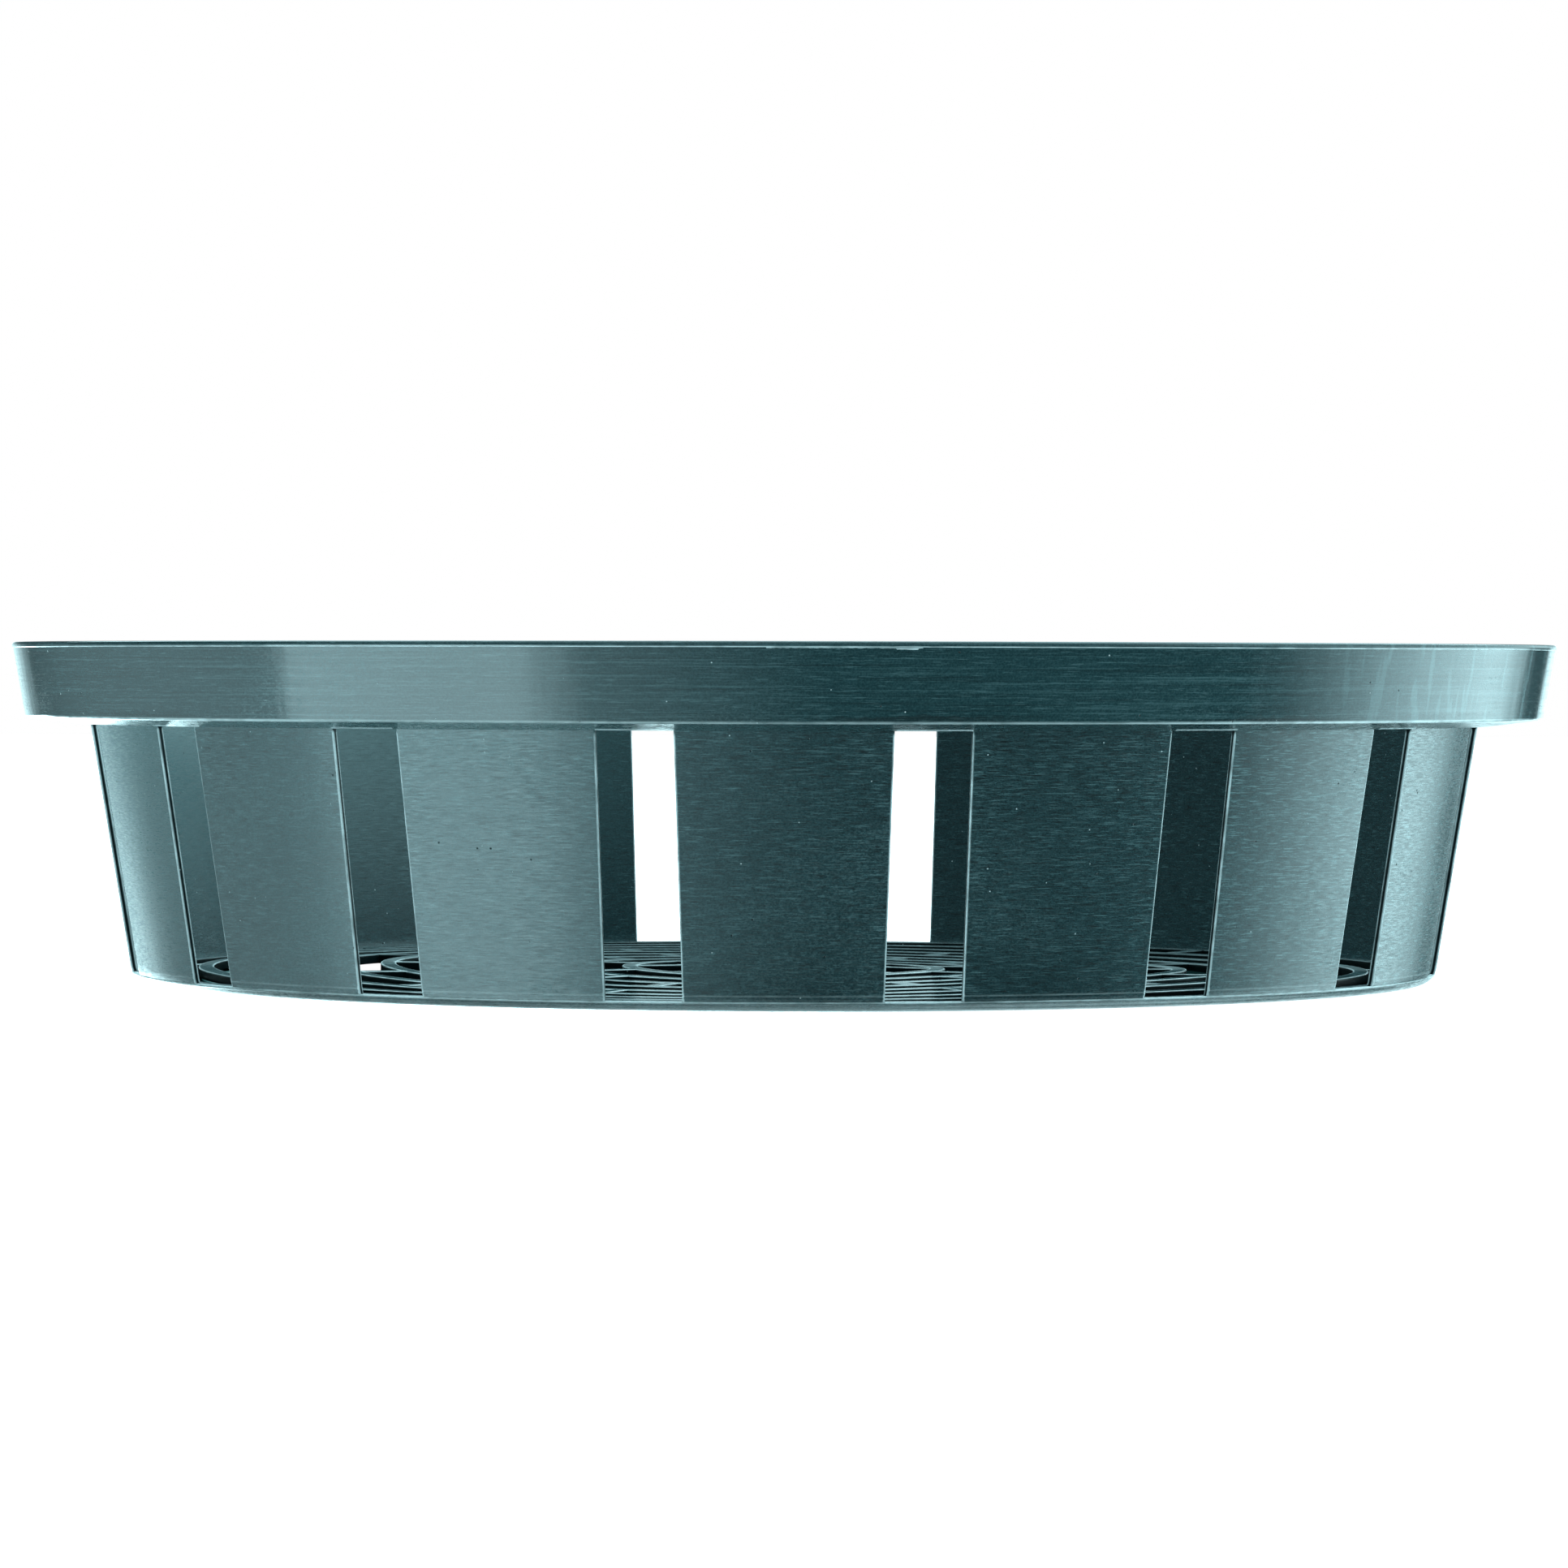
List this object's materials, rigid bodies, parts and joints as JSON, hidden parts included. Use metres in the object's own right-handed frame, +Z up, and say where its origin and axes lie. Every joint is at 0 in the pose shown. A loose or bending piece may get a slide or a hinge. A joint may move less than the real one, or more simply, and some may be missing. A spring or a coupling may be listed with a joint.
{
  "type": "bulb planting basket",
  "caption": "Shallow round planting basket with a deep stepped rim band, tall slots in a tapered wall and an openwork floor of rings.",
  "frame": {"origin": "centre of the floor's flat underside, on the basket's axis", "axes": "+Z up the axis, from the floor to the open rim; -Y to the front, the side the picture shows, where a wall panel faces the viewer; +X to the viewer's right"},
  "size_m": [0.28, 0.28, 0.061],
  "materials": {
    "plastic": "semi-gloss, moulded, with fine scuffs"
  },
  "bodies": {
    "root": {"basket": "plastic"}
  },
  "joints": []
}
